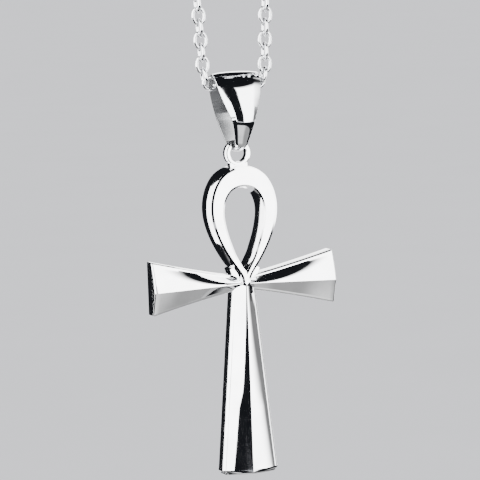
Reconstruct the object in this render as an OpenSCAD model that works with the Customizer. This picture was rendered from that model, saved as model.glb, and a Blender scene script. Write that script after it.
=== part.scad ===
// Ankh pendant on a folded bail, hanging from a fine cable chain. Millimetres, +Z up, front towards -Y.
// The origin is the middle of the clasp, at the top of the chain, where the necklace hangs.

/* [Ankh] */
// Height from the crossing of the arms down to the foot of the stem
stem_len = 26.6; // [20:0.1:36]
// Width of the stem's front face at its foot
stem_foot_w = 7.5; // [5:0.1:11]
// Width of the stem's front face at its top
stem_top_w = 2.5; // [1.8:0.1:4]
// Radius of the two corners at the foot of the stem
foot_corner_r = 0.5; // [0.1:0.1:1.2]
// Span of the arms from end to end
arm_span = 27.1; // [22:0.1:40]
// Height of an arm's front face at its outer end
arm_end_h = 6.7; // [4:0.1:9]
// Height of an arm's front face at the knot
arm_root_h = 1.0; // [0.6:0.1:1.6]
// How far the arms' edges curve: 1 is straight, more is hollower
arm_curve = 1.2; // [1:0.05:1.6]
// Height of the middle of the arms above the point where the stem's ridge ends at the knot
arm_rise = 0.45; // [0.2:0.05:0.6]
// How far the arms' ridges drop below their middle at the ends
ridge_drop = 0.45; // [0:0.05:0.6]
// Depth from the flat back to the ridges of the arms and the stem
ridge_depth = 3.2; // [2.6:0.1:4]
// Depth of the flat side walls of the arms and the stem
wall_depth = 1.75; // [1.2:0.05:2]
// Depth of the bevel between a side wall and the front
bevel_depth = 0.3; // [0.1:0.05:0.5]
// Width of that bevel along the sides
bevel_w = 0.45; // [0.2:0.05:0.7]
// Width of the bevel at the ends of the arms and the stem
end_bevel_w = 0.25; // [0.1:0.05:0.4]

/* [Loop] */
// Width of the loop's front face from side to side
loop_w = 9.5; // [8.5:0.1:13]
// Height of the loop's front face from its lower tip to its top
loop_h = 16.7; // [14.5:0.05:22]
// Width of the hole in the loop's front face
hole_w = 6.2; // [4:0.1:7]
// Height of the hole in the loop's front face
hole_h = 12.3; // [9:0.1:13]
// Height of the loop's lower tip above the crossing of the arms
tip_rise = 0.1; // [0:0.05:0.6]
// Height of the hole's lower end above the lower tip
hole_rise = 1.85; // [1.4:0.05:2.3]
// Depth of the loop from front to back
loop_depth = 3.3; // [2.4:0.1:4]
// Width of the bevel on the loop's outer edge
loop_bevel = 0.34; // [0.1:0.02:0.5]
// Width of the bevel on the edge of its hole
hole_bevel = 0.28; // [0.1:0.02:0.4]

/* [Knot] */
// Span of the collar behind the foot of the loop
collar_span = 4.4; // [4:0.1:6.4]
// Height of the collar's ends
collar_h = 0.8; // [0.6:0.05:1.4]
// Height of the collar's upper corners above the crossing of the arms
collar_top = 2.5; // [2.2:0.05:3.2]
// Depth of the collar from the flat back
collar_depth = 2.6; // [1.6:0.1:2.7]

/* [Eye] */
// Radius of the eye's round hole
eye_hole_r = 1.2; // [1:0.05:1.6]
// Width of the eye's ring between its hole and its outside
eye_ring_w = 0.67; // [0.5:0.01:1]
// Thickness of the eye and its neck from front to back
eye_thick = 1.2; // [0.8:0.1:1.6]
// Width of the neck between the eye and the loop
neck_w = 2.7; // [2:0.1:3.2]
// Height of the neck from the eye's hole down to the loop
neck_h = 0.65; // [0.5:0.05:1.2]

/* [Bail] */
// Height of the opening inside the bail
bail_h = 10.2; // [8.6:0.1:14]
// Width of the bail at its top
bail_top_w = 6.8; // [5:0.1:8]
// Width of the bail where its leaves turn in
bail_waist_w = 3.3; // [2.6:0.1:5]
// Width of the bail at its foot
bail_foot_w = 1.5; // [1.2:0.1:1.7]
// Depth inside the bail's roll, over the chain
bail_roll_d = 3.7; // [3:0.1:5]
// Depth inside the bail where its leaves turn in
bail_waist_d = 6.3; // [4.6:0.1:7]
// Depth inside the bail at its foot
bail_foot_d = 4.2; // [2.6:0.1:5]
// Thickness of the bail's crowned leaves along their middle
bail_wall = 0.8; // [0.5:0.05:1.1]
// Thickness of the bail along the middle of its foot
bail_foot_wall = 0.5; // [0.4:0.05:0.6]
// Thickness of the bail at its edges
bail_edge = 0.3; // [0.2:0.05:0.4]

/* [Chain] */
// Drop from the middle of the clasp to the lowest point of the chain
chain_drop = 211; // [180:1:260]
// Width of one link
link_w = 2.15; // [1.6:0.05:2.6]
// Thickness of the tube that holds the chain's place
chain_d = 1.5; // [1:0.1:1.6]
// Clearance between the top of the bail and the links it hangs on
seat_gap = 0.2; // [0.1:0.05:0.5]
// Clearance between the eye and the foot of the bail
eye_gap = 0.1; // [0.05:0.01:0.2]

/* [Clasp] */
// Length of the clasp
clasp_len = 11; // [9:0.5:14]
// Width of the clasp at its hook
clasp_w = 4.4; // [3.6:0.1:5.6]
// Width of the clasp at its eye
clasp_tail_w = 2.6; // [2:0.1:3.4]
// Thickness of the clasp
clasp_thick = 1; // [0.8:0.1:1.1]
// Radius of the opening in the hook
hook_hole_r = 1.2; // [0.9:0.05:1.5]
// Radius of the hole in the clasp's eye
tail_hole_r = 0.65; // [0.5:0.05:0.8]
// Clearance between the clasp and the ends of the chain
clasp_gap = 0.1; // [0.05:0.05:0.3]

/* [Hidden] */

// The chain's route on its right side, x and z, from the middle of the bail up to the clasp, for a drop of 211.
CHAIN_ROUTE = [
    [0, -211], [3.2, -211], [3.9, -210.8], [4.25, -210.3], [4.4, -209.5], [4.8, -203], [5.4, -193],
    [6.6, -173], [7.8, -153], [9, -133], [10.2, -113], [11.4, -93], [12.6, -73], [13.8, -53], [15, -33],
    [15.9, -17], [15.9, -13], [15.3, -10], [13.9, -7], [11.7, -4], [9.2, -1.9],
];
chain_sides = 8;
chain_step = 8;

// Half of the loop from its lower tip to its top: shares of half the loop's width and of its height,
// then shares of half the hole's width and of its height.
LOOP_ROWS = [
    [0, 0, 0, 0],
    [0.085, 0.022, 0.05, 0.012],
    [0.105, 0.062, 0.115, 0.032],
    [0.165, 0.103, 0.19, 0.064],
    [0.28, 0.152, 0.305, 0.116],
    [0.45, 0.222, 0.465, 0.192],
    [0.64, 0.313, 0.63, 0.3],
    [0.8, 0.407, 0.79, 0.416],
    [0.925, 0.508, 0.915, 0.54],
    [0.995, 0.611, 0.99, 0.67],
    [0.985, 0.72, 0.955, 0.785],
    [0.875, 0.83, 0.81, 0.885],
    [0.66, 0.925, 0.56, 0.957],
    [0.35, 0.982, 0.285, 0.99],
    [0, 1, 0, 1],
];
loop_steps = 2;

// The front leaf of the bail between its roll and its foot: share of the opening's height from its top,
// share of the way from the roll's depth to the waist's, and share of the way from the top's width to the waist's.
BAIL_LEAF = [
    [0.2, 0.03, 0.15],
    [0.33, 0.42, 0.39],
    [0.46, 0.76, 0.64],
    [0.56, 0.94, 0.86],
    [0.63, 1, 1],
];
waist_share = 0.63;
roll_share = 0.2;
foot_share = 0.13;
roll_steps = 7;
foot_steps = 5;
// Shares of half the bail's width at which its outer side has a line, and its crown's height there.
crown_share = 0.55;
crown_height = 0.7;

// How far the back of the loop lies in front of the back of the arms, and the collar's in front of the loop's.
back_step = 0.06;
back_y = 0.34 * ridge_depth;
face_y = back_y - wall_depth - bevel_depth;
ridge_y = back_y - ridge_depth;

chain_z = -chain_drop;
bail_top_z = chain_z + link_w / 2 + seat_gap;
bail_foot_z = bail_top_z - bail_h;
// The foot's upper side rises away from its middle, so the eye rides on it at the eye's two faces.
foot_rise = foot_share * bail_h * (1 - sqrt(1 - pow(eye_thick / bail_foot_d, 2)));
eye_z = bail_foot_z + foot_rise + eye_gap - sqrt(pow(eye_hole_r, 2) - pow(bail_foot_w / 2, 2));
loop_top_z = eye_z - eye_hole_r - neck_h;
cross_z = loop_top_z - loop_h - tip_rise;

steel = [0.82, 0.83, 0.85];
bright_steel = [0.9, 0.91, 0.93];

// The walls between rings of points, two triangles to each four-sided patch.
// The patches of a ring's second half are cut the other way, so that a symmetrical ring stays symmetrical.
function ring_walls(rings, sides, closed) = [
    for (i = [0 : rings - (closed ? 1 : 2)])
        for (j = [0 : sides - 1])
            let (
                a = i * sides + j,
                b = i * sides + (j + 1) % sides,
                c = ((i + 1) % rings) * sides + (j + 1) % sides,
                d = ((i + 1) % rings) * sides + j
            )
            each (2 * j < sides - 1 ? [[a, b, c], [a, c, d]] : [[a, b, d], [b, c, d]])
];

// A solid skinned through rings of points. Each ring has as many points, in the same order.

module skin(rings, closed = false) {
    sides = len(rings[0]);
    count = len(rings);
    first_cap = [for (j = [0 : sides - 1]) sides - 1 - j];
    last_cap = [for (j = [0 : sides - 1]) (count - 1) * sides + j];
    polyhedron(
        points = [for (ring = rings) each ring],
        faces = concat(ring_walls(count, sides, closed), closed ? [] : [first_cap, last_cap]),
        convexity = 8
    );
}

function mix(a, b, share) = a + (b - a) * share;

// A point of the smooth curve through b and c, with their neighbours a and d.
function curve_point(a, b, c, d, t) =
    b + 0.5 * t * (c - a + t * (2 * a - 5 * b + 4 * c - d + t * (3 * (b - c) + d - a)));

// Rows of a closed table, with more rows along the smooth curve through them.
function smooth_rows(rows, steps) = let (n = len(rows)) [
    for (i = [0 : n - 1])
        for (k = [0 : steps - 1])
            curve_point(rows[(i + n - 1) % n], rows[i], rows[(i + 1) % n], rows[(i + 2) % n], k / steps)
];

// Outward direction of a closed outline at point i, for an outline that runs against the clock.
function outward(points, i) = let (
    n = len(points),
    along = points[(i + 1) % n] - points[(i + n - 1) % n]
) [along[1], -along[0]] / norm(along);

// The section of an arm or the stem: y and the distance across, for half a face's width,
// with the front edges and the ridge set back by back_off and the ridge moved across by ridge_off.
function limb_section(half_w, back_off = 0, ridge_off = 0) = [
    [back_y, -half_w - bevel_w],
    [back_y - wall_depth, -half_w - bevel_w],
    [face_y + back_off / 2, -half_w],
    [ridge_y + back_off, ridge_off],
    [face_y + back_off / 2, half_w],
    [back_y - wall_depth, half_w + bevel_w],
    [back_y, half_w + bevel_w],
];

arm_steps = 9;
arm_reach = arm_span / 2;
function arm_half_h(share) = mix(arm_root_h, arm_end_h, pow(share, arm_curve)) / 2;

// Both arms in one piece, from one bevelled end to the other.
module arms() {
    face_end = arm_reach - end_bevel_w;
    right = concat(
        [for (i = [0 : arm_steps]) [face_end * i / arm_steps, arm_half_h(i / arm_steps), 0]],
        [[arm_reach, arm_half_h(1) - end_bevel_w / 2, end_bevel_w]]
    );
    left = [for (i = [len(right) - 1 : -1 : 1]) [-right[i][0], right[i][1], right[i][2]]];
    skin([
        for (s = concat(left, right))
            let (ridge_off = -ridge_drop * abs(s[0]) / arm_reach)
            [for (p = limb_section(s[1], s[2], ridge_off)) [s[0], p[0], arm_rise + p[1]]]
    ]);
}

stem_steps = 8;
foot_corner_steps = 3;
function stem_half_w(share) = mix(stem_top_w, stem_foot_w, share) / 2;

// The stem, from the arms' ridge down to its foot with rounded corners.
module stem() {
    corner_start = stem_len - end_bevel_w - foot_corner_r;
    corner = [
        for (k = [1 : foot_corner_steps])
            let (a = 75 * k / foot_corner_steps)
            [corner_start + foot_corner_r * sin(a), stem_half_w(1) - foot_corner_r * (1 - cos(a)), 0]
    ];
    last = corner[foot_corner_steps - 1];
    stations = concat(
        [
            for (i = [0 : stem_steps])
                let (down = mix(-arm_rise, corner_start, i / stem_steps))
                [down, stem_half_w(down / stem_len), 0]
        ],
        corner,
        [[stem_len, last[1] - end_bevel_w, end_bevel_w]]
    );
    skin([for (s = stations) [for (p = limb_section(s[1], s[2])) [p[1], p[0], -s[0]]]]);
}

// The loop, its outline and its hole as one closed band that meets in a tip over the knot.
module loop() {
    last = len(LOOP_ROWS) - 1;
    left = [for (i = [last - 1 : -1 : 1]) let (r = LOOP_ROWS[i]) [-r[0], r[1], -r[2], r[3]]];
    rows = smooth_rows(concat(LOOP_ROWS, left), loop_steps);
    hole_z = tip_rise + hole_rise;
    outer = [for (r = rows) [r[0] * loop_w / 2, tip_rise + r[1] * loop_h]];
    front = back_y - loop_depth;
    loop_back = back_y - back_step;
    skin(closed = true, rings = [
        for (i = [0 : len(rows) - 1])
            let (
                share_x = rows[i][2],
                share_z = rows[i][3],
                o = outer[i],
                o_wall = o + loop_bevel * outward(outer, i),
                h = [share_x * hole_w / 2, hole_z + share_z * hole_h],
                h_wall = [share_x * (hole_w / 2 - hole_bevel),
                          hole_z + mix(2 * hole_bevel, hole_h - hole_bevel, share_z)]
            )
            [
                [h[0], front, h[1]],
                [h_wall[0], front + hole_bevel, h_wall[1]],
                [h_wall[0], loop_back, h_wall[1]],
                [o_wall[0], loop_back, o_wall[1]],
                [o_wall[0], front + loop_bevel, o_wall[1]],
                [o[0], front, o[1]],
            ]
    ]);
}

// The collar behind the foot of the loop, whose two wings stand over the arms.
module collar() {
    wing = collar_span / 2;
    waist = wing / 5;
    bottom = collar_top - collar_h;
    translate([0, back_y - 2 * back_step, 0])
        rotate([90, 0, 0])
            linear_extrude(collar_depth - 2 * back_step)
                polygon([
                    [-wing, collar_top], [-wing * 0.86, bottom], [-waist, tip_rise + bottom / 2],
                    [0, arm_rise], [waist, tip_rise + bottom / 2], [wing * 0.86, bottom], [wing, collar_top],
                    [wing * 0.86, collar_top + collar_h / 4], [0, tip_rise + hole_rise * 0.9],
                    [-wing * 0.86, collar_top + collar_h / 4],
                ]);
}

// The eye on top of the loop, with its round hole and the neck that joins it to the loop.
module eye() {
    eye_r = eye_hole_r + eye_ring_w;
    neck_foot = eye_hole_r + neck_h + eye_ring_w;
    rotate([90, 0, 0])
        difference() {
            union() {
                translate([0, 0, -eye_thick / 2])
                    cylinder(r = eye_r, h = eye_thick, $fn = 48);
                translate([-neck_w / 2, -neck_foot, -eye_thick / 2])
                    cube([neck_w, neck_foot - eye_hole_r / 2, eye_thick]);
            }
            translate([0, 0, -eye_thick])
                cylinder(r = eye_hole_r, h = 2 * eye_thick, $fn = 48);
        }
}

// The whole ankh is one casting.
module ankh() {
    color(bright_steel) {
        translate([0, 0, cross_z]) {
            arms();
            stem();
            collar();
            loop();
        }
        translate([0, 0, eye_z])
            eye();
    }
}

// Half of the bail's inner outline seen from the side, from the top of its roll to its foot:
// distance below the top, half the depth and half the width.
function bail_half() = let (
    roll_h = roll_share * bail_h,
    foot_h = foot_share * bail_h
) concat(
    [
        for (k = [0 : roll_steps - 1])
            let (a = 90 * k / roll_steps)
            [roll_h * (1 - cos(a)), bail_roll_d / 2 * sin(a),
             mix(bail_top_w, bail_waist_w, BAIL_LEAF[0][2] * (1 - cos(a))) / 2]
    ],
    [
        for (r = BAIL_LEAF)
            [r[0] * bail_h, mix(bail_roll_d, bail_waist_d, r[1]) / 2, mix(bail_top_w, bail_waist_w, r[2]) / 2]
    ],
    [
        for (k = [0 : foot_steps])
            let (
                a = 90 * k / foot_steps,
                down = bail_h - foot_h * (1 - sin(a)),
                share = (down / bail_h - waist_share) / (1 - waist_share)
            )
            [down, bail_foot_d / 2 * cos(a), mix(bail_waist_w, bail_foot_w, share) / 2]
    ]
);

// The folded bail: a closed strip, flat inside and crowned outside.
module bail() {
    half = bail_half();
    last = len(half) - 1;
    rows = concat(half, [for (i = [last - 1 : -1 : 1]) [half[i][0], -half[i][1], half[i][2]]]);
    side = [for (r = rows) [-r[1], -r[0]]];
    color(steel)
        translate([0, 0, bail_top_z])
            skin(closed = true, rings = [
                for (i = [0 : len(rows) - 1])
                    let (
                        p = side[i],
                        w = rows[i][2],
                        out = outward(side, i),
                        below_waist = max(0, (rows[i][0] / bail_h - waist_share) / (1 - waist_share)),
                        middle = mix(bail_wall, bail_foot_wall, below_waist),
                        at_edge = p + bail_edge * out,
                        at_side = p + mix(bail_edge, middle, crown_height) * out,
                        at_middle = p + middle * out
                    )
                    [
                        [-w, p[0], p[1]],
                        [-w, at_edge[0], at_edge[1]],
                        [-w * crown_share, at_side[0], at_side[1]],
                        [0, at_middle[0], at_middle[1]],
                        [w * crown_share, at_side[0], at_side[1]],
                        [w, at_edge[0], at_edge[1]],
                        [w, p[0], p[1]],
                    ]
            ]);
}

// The chain as a plain tube along its route, from one end of the clasp round to the other.
module chain() {
    ends = [[clasp_len / 2 + clasp_gap, 0]];
    stretch = chain_drop / -CHAIN_ROUTE[0][1];
    half = concat([for (p = CHAIN_ROUTE) [p[0], p[1] * stretch]], ends);
    last = len(half) - 1;
    corners = concat([for (i = [last : -1 : 1]) [-half[i][0], half[i][1]]], half);
    path = concat(
        [
            for (i = [0 : len(corners) - 2])
                let (steps = ceil(norm(corners[i + 1] - corners[i]) / chain_step))
                for (k = [0 : steps - 1])
                    mix(corners[i], corners[i + 1], k / steps)
        ],
        [corners[len(corners) - 1]]
    );
    count = len(path);
    color(steel)
        skin([
            for (i = [0 : count - 1])
                let (
                    along = path[min(i + 1, count - 1)] - path[max(i - 1, 0)],
                    out = (i == 0 || i == count - 1) ? [0, 1] : [along[1], -along[0]] / norm(along)
                )
                [
                    for (j = [0 : chain_sides - 1])
                        let (
                            a = -360 * (j + 0.5) / chain_sides,
                            c = chain_d / 2 * cos(a),
                            s = chain_d / 2 * sin(a)
                        )
                        [path[i][0] + out[0] * c, s, path[i][1] + out[1] * c]
                ]
        ]);
}

// The clasp: one plain lobster shape with an opening in its hook and a hole in its eye.
module clasp() {
    hook_x = -(clasp_len - clasp_w) / 2;
    tail_x = (clasp_len - clasp_tail_w) / 2;
    color(steel)
        rotate([90, 0, 0])
            translate([0, 0, -clasp_thick / 2])
                difference() {
                    linear_extrude(clasp_thick)
                        hull() {
                            translate([hook_x, 0])
                                circle(d = clasp_w, $fn = 32);
                            translate([tail_x, 0])
                                circle(d = clasp_tail_w, $fn = 24);
                        }
                    translate([hook_x, 0, -clasp_thick])
                        cylinder(r = hook_hole_r, h = 3 * clasp_thick, $fn = 32);
                    translate([tail_x, 0, -clasp_thick])
                        cylinder(r = tail_hole_r, h = 3 * clasp_thick, $fn = 24);
                }
}

chain();
clasp();
bail();
ankh();
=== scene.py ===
from math import asin, atan, atan2, cos, degrees, hypot, pi, radians, sin
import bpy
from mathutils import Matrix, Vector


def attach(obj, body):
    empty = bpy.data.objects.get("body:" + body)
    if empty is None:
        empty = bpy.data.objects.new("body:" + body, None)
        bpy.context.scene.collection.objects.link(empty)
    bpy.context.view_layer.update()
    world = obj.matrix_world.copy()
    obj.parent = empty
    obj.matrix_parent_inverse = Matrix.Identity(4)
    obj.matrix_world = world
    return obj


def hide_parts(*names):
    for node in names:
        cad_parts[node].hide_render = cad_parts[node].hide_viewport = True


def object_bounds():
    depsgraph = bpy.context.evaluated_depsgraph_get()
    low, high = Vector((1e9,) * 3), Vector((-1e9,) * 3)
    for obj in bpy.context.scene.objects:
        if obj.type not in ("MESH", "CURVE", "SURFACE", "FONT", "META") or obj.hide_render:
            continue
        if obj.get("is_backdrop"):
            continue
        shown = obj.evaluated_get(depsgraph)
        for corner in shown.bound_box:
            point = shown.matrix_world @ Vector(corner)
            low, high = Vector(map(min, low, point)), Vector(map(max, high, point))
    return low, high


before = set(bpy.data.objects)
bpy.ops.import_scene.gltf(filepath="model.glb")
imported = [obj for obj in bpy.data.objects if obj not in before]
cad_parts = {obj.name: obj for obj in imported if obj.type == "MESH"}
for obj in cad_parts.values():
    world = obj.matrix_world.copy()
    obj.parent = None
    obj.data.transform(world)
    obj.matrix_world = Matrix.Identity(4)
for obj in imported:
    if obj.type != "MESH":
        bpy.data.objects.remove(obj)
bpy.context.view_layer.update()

from types import SimpleNamespace

import bmesh
import bpy
from bpy.props import FloatProperty, FloatVectorProperty, IntProperty, PointerProperty
from mathutils import Matrix, Vector

bl_info = {
    "name": "Ankh Pendant",
    "version": (1, 0, 0),
    "blender": (4, 5, 0),
    "location": "View3D > Sidebar > Pendant",
    "description": "Makes an ankh pendant with its bail, chain and clasp",
    "category": "Add Mesh",
}

# A millimetre in metres. Shapes are worked out in millimetres, and a finished mesh is in metres.
MM = 0.001

# Heights of the top of the bail's opening, of the eye's axis and of the crossing of the arms and the stem.
BAIL_TOP_Z = -209.725
EYE_Z = -220.706
CROSS_Z = -239.356

# The ankh's flat back, and how far the backs of its parts are set off so that no two lie in one plane.
BACK_Y = 1.088
STEP_Y = 0.06

# Points of a finished mesh this close become one, and edges shorter than the second length go.
WELD, SLIVER = 0.0005, 0.0002

# Half of the loop from its lower tip to its top: shares of half the loop's width and of its height,
# then shares of half the hole's width and of its height.
LOOP_ROWS = [
    (0, 0, 0, 0), (0.085, 0.022, 0.05, 0.012), (0.105, 0.062, 0.115, 0.032), (0.165, 0.103, 0.19, 0.064),
    (0.28, 0.152, 0.305, 0.116), (0.45, 0.222, 0.465, 0.192), (0.64, 0.313, 0.63, 0.3),
    (0.8, 0.407, 0.79, 0.416), (0.925, 0.508, 0.915, 0.54), (0.995, 0.611, 0.99, 0.67),
    (0.985, 0.72, 0.955, 0.785), (0.875, 0.83, 0.81, 0.885), (0.66, 0.925, 0.56, 0.957),
    (0.35, 0.982, 0.285, 0.99), (0, 1, 0, 1),
]

# Where a flat facet has lines across it, as shares from its outer edge to the ridge.
FACET_LINES = (0, 0.04, 0.96)

# A softened facet's slope at the ridge, what a radian of tilt takes off its soft share, and its least share.
RIDGE_SLOPE, SOFT_LOSS, LEAST_SOFT = radians(9), 0.49, 0.2

# How much steeper than its facet a rounded edge starts, and the least and greatest tilt that it starts at.
EDGE_TURN, LEAST_TURN, MOST_TURN = radians(15), radians(45), radians(82)

# The stem starts this share of the arms' rise above the crossing.
STEM_TUCK = 0.8

# The stem's facets grow softer from this share of its length on, over the second share.
SOFT_FROM, SOFT_OVER = 0.54, 0.12

# How far the foot's corners turn before the bevel of its end takes over.
CORNER_TURN = radians(75)

# Where the loop's rims lie, as shares of the way from the edge of its face to its wall: the hole's two rims,
# of which the first is on the face, and the outer one.
HOLE_RIMS, OUTER_RIM = (-0.35, 0.4), 0.35

# The eye's neck: how far below the eye's axis it ends, against the hole's radius, and its width at that end
# and its thickness, as shares of its width at its foot and of the eye's thickness.
NECK_END, NECK_TAPER, NECK_THIN = 1.06, 0.92, 0.98

# The bail's leaf between its roll and its foot: share of its height, of its depth and of its width.
BAIL_LEAF = [(0.2, 0.03, 0.15), (0.33, 0.42, 0.39), (0.46, 0.76, 0.64), (0.56, 0.94, 0.86), (0.63, 1, 1)]
ROLL_END, WAIST = BAIL_LEAF[0][0], BAIL_LEAF[-1][0]

# The share of the bail's height that its foot's round takes, the distance over which its bends are eased, and
# the steps from the middle of a leaf to the edge of its panel.
FOOT_ROUND, BEND_EASE, PANEL_STEPS = 0.13, 1.5, 6

# The right side of the chain's route, x and z, from the middle of the bail up to the clasp.
CHAIN_ROUTE = [
    (0, -211), (3.45, -211), (4.05, -210.85), (4.4, -210.45), (4.52, -209.9), (4.6, -209), (4.85, -203),
    (5.4, -193), (6.6, -173), (7.8, -153), (9, -133), (10.2, -113), (11.4, -93), (12.6, -73), (13.8, -53),
    (15, -33), (15.9, -17), (15.9, -13), (15.3, -10), (13.9, -7), (11.7, -4), (9.2, -1.9),
]

# Where the two end links reach in the clasp, x, on the side of its hook and of its eye.
CHAIN_ENDS = (-4.3, 4.65)

# How much closer two neighbouring links lie than in a tight chain, before the number of links is rounded.
LINK_SLACK = 0.05

# Radius of the clasp's rounded edges.
CLASP_EDGE = 0.25

# The steel's patterns, as spots to the metre: its tint, its haze, its hairlines and its waviness. Then the
# depth of a hairline in metres, the painted shade that darkens the inside of the bail, and how much rougher
# it is.
TINT_SPOTS, HAZE_SPOTS, HAIR_SPOTS, WAVE_SPOTS = 420, 900, 5200, 320
HAIR_DEPTH, INSIDE_PAINTED_SHADE, INSIDE_ROUGH = 0.000004, 0.3, 0.22

# The floor's patterns, as spots to the metre, and the range of its roughness.
FLOOR_TINT_SPOTS, FLOOR_GRAIN_SPOTS, FLOOR_ROUGH = 9, 60, (0.86, 0.94)

# The stage, in metres: the middle that its cards stand round and its lamp aims at, how far below the pendant
# its floor lies, half the floor's width, and the lamp's place, size and power.
STAGE_MIDDLE = Vector((0, 0, -0.24))
FLOOR_DROP, FLOOR_HALF = 0.25, 12
KEY_PLACE, KEY_SIZE, KEY_POWER = (-0.5, -0.6, 0.5), (0.6, 0.6), 6

# What stands round the pendant: dark flags, which have no strength, and lit cards in front of them. Each row
# is a name, its azimuths, its elevations, its distance, its strength, and the shares of its width and height
# over which it fades, at its low edges and, where they differ, at its high ones.
FLAG_GREY = (0.012, 0.013, 0.016)
STAGE_CARDS = [
    ("flag_round", (-180, 180), (-35, 89), 1.4, 0),
    ("flag_low", (-179, -32), (-80, -19), 0.26, 0),
    ("card_grey", (30, 128), (-14, 46), 0.95, 0.3, (0.1, 0.05), (0.2, 0.2)),
    ("card_right", (12, 84), (-14, 51), 0.9, 9, (0.03, 0.05), (0.55, 0.2)),
    ("card_left", (-112, -21), (-18, 55), 0.9, 9, (0.04, 0.05), (0.02, 0.05)),
    ("card_side", (-150, -124), (-55, 60), 0.25, 7, (0.05, 0.05)),
    ("flag_back", (-179, -113), (-30, -8), 0.28, 0),
    ("card_back", (165, 195), (-14, 14), 1.0, 2.5, (0.3, 0.3)),
    ("card_under", (110, 262), (-80, -27), 0.23, 0.8, (0.3, 0.2), (0.2, 0.15)),
    ("card_rim", (112, 168), (-20, 38), 0.9, 6, (0.1, 0.1)),
    ("card_floor", (-60, 250), (-89, -34), 0.24, 0.5, (0.1, 0.02), (0.1, 0.08)),
    ("card_low", (-30, 44), (-66, -34), 0.22, 1.5, (0.1, 0.4), (0.35, 0.1)),
    ("flag_far", (-179, 150), (-30, -13.5), 0.5, 0),
    ("flag_front", (-32, 150), (-37, -19), 0.25, 0),
]

# The camera: its azimuth, elevation and roll, its distance in metres, its lens, and the point it looks at,
# which lies this far across and above the front of the crossing.
VIEW_TURN, VIEW_RISE, VIEW_ROLL = radians(-20), radians(6), radians(-2.1)
VIEW_DISTANCE, VIEW_LENS = 0.45, 241
CROSS_FRONT, VIEW_SHIFT = Vector((0, -2.112, CROSS_Z)), (-0.98, 6.55)


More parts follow.
